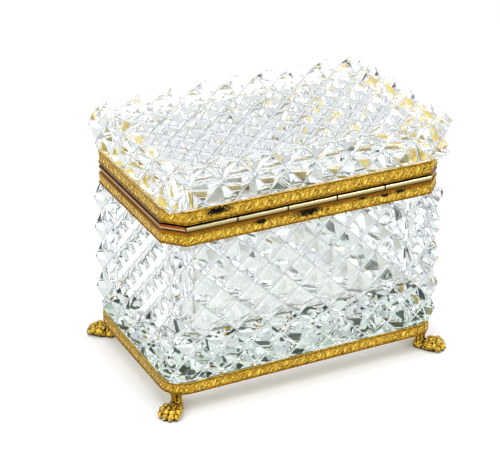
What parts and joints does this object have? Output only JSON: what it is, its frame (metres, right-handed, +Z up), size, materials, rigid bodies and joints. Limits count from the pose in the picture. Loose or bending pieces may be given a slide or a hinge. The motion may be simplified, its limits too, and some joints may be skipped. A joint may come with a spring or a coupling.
{
  "type": "glass casket box",
  "caption": "Cut-glass casket with gilt brass bands, a hinged lid of the same glass and lion-paw feet, for jewellery and keepsakes.",
  "frame": {"origin": "on the table, under the middle of the casket", "axes": "+X along the casket's length, +Y towards the hinge, +Z up"},
  "size_m": [0.162, 0.1034, 0.1305],
  "materials": {
    "crystal": "polished cut lead crystal, clear with a faint green tint in depth",
    "gilt_brass": "gilt, bright on the high places, brown tarnish in the recesses",
    "plain_brass": "plain brass, dulled",
    "plaster": "matt off-white plaster"
  },
  "bodies": {
    "box": {"body_glass": "crystal", "base_band": "gilt_brass", "body_band": "gilt_brass", "base_frame": "plain_brass", "body_collar": "plain_brass", "rim_moulding": "gilt_brass", "locating_lip": "plain_brass", "hinge_leaf_body": "gilt_brass", "hinge_pin": "plain_brass", "hinge_rivets_body": "plain_brass", "foot_front_left": "gilt_brass", "foot_front_right": "gilt_brass", "foot_rear_left": "gilt_brass", "foot_rear_right": "gilt_brass", "foot_rivets": "plain_brass", "base_cement": "plaster", "body_cement": "plaster"},
    "lid": {"lid_glass": "crystal", "lid_collar": "plain_brass", "lid_band": "gilt_brass", "lid_cement": "plaster", "hinge_leaf_lid": "gilt_brass", "hinge_rivets_lid": "plain_brass", "thumb_piece": "gilt_brass", "thumb_rivets": "gilt_brass"}
  },
  "joints": [
    {"name": "lid_hinge", "type": "hinge", "parent": "box", "child": "lid", "pos_m": [0, 0.0438, 0.0981], "axis": [-1, 0, 0], "range_deg": [0, 105]}
  ]
}
